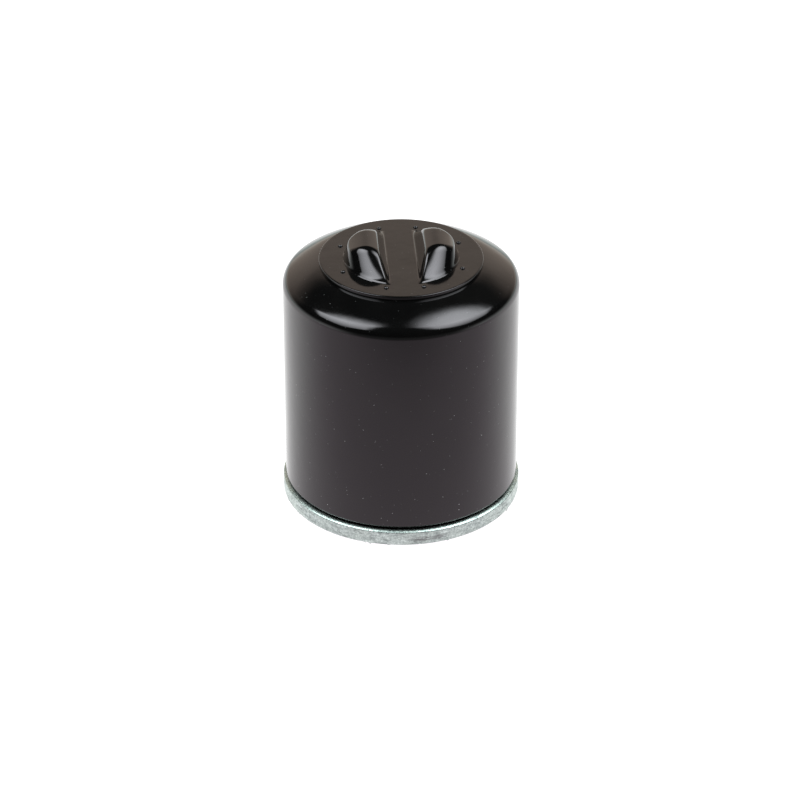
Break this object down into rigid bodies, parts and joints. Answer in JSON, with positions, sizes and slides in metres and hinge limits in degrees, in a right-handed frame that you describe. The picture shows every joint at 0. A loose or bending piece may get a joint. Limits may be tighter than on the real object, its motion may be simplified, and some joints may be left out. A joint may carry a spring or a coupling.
{
  "type": "oil filter",
  "caption": "Spin-on engine oil filter: round can with a raised dome plateau, half-moon grip lugs and a plated seam ring.",
  "frame": {"origin": "centre of the gasket's sealing face, the plane the filter stands on", "axes": "+Z along the filter's axis from the sealing face to the dome; Y runs along the slot between the lugs, X from lug to lug"},
  "size_m": [0.053, 0.053, 0.0636],
  "materials": {
    "black_paint": "gloss black paint",
    "zinc_plate": "bare zinc-plated sheet, lightly streaked",
    "nitrile_rubber": "moulded nitrile, satin",
    "plate_steel": "oiled hot-rolled steel, machined thread",
    "sealant": "cured sealing compound",
    "silicone_rubber": "moulded silicone, matt",
    "tin_plate": "tin-plated pressing",
    "plastisol": "cured adhesive",
    "tube_steel": "perforated zinc-coated sheet",
    "pleat_paper": "resin-treated paper",
    "clip_steel": "folded bright strip",
    "seat_brass": "turned brass",
    "cage_steel": "zinc-plated pressing",
    "spring_wire": "drawn spring wire",
    "poppet_steel": "turned steel",
    "seat_steel": "zinc-plated pressing"
  },
  "bodies": {
    "shell": {"can": "black_paint", "seaming_lid": "zinc_plate", "mounting_gasket": "nitrile_rubber", "base_plate": "plate_steel", "seam_sealant": "sealant", "hold_down_spring": "spring_wire"},
    "element": {"lower_end_cap": "tin_plate", "lower_potting": "plastisol", "centre_tube": "tube_steel", "filter_media": "pleat_paper", "pleat_clip": "clip_steel", "upper_potting": "plastisol", "upper_end_cap": "tin_plate", "bypass_seat": "seat_brass", "bypass_cage": "cage_steel", "bypass_spring": "spring_wire", "spring_seat": "seat_steel"},
    "bypass_valve": {"bypass_poppet": "poppet_steel", "bypass_seal": "nitrile_rubber"},
    "drain_valve": {"anti_drain_valve": "silicone_rubber"}
  },
  "joints": [
    {"name": "element_float", "type": "slide", "parent": "shell", "child": "element", "axis": [0, 0, 1], "range_m": [0, 0.0015], "stiffness_N_per_m": 4000, "springref_m": -0.008, "deforming": ["hold_down_spring"]},
    {"name": "bypass_lift", "type": "slide", "parent": "element", "child": "bypass_valve", "axis": [0, 0, -1], "range_m": [0, 0.002], "stiffness_N_per_m": 1000, "springref_m": -0.005, "deforming": ["bypass_spring"]},
    {"name": "drain_valve_lift", "type": "slide", "parent": "shell", "child": "drain_valve", "axis": [0, 0, 1], "range_m": [0, 0.001], "stiffness_N_per_m": 400, "springref_m": -0.001, "deforming": ["anti_drain_valve"]}
  ]
}
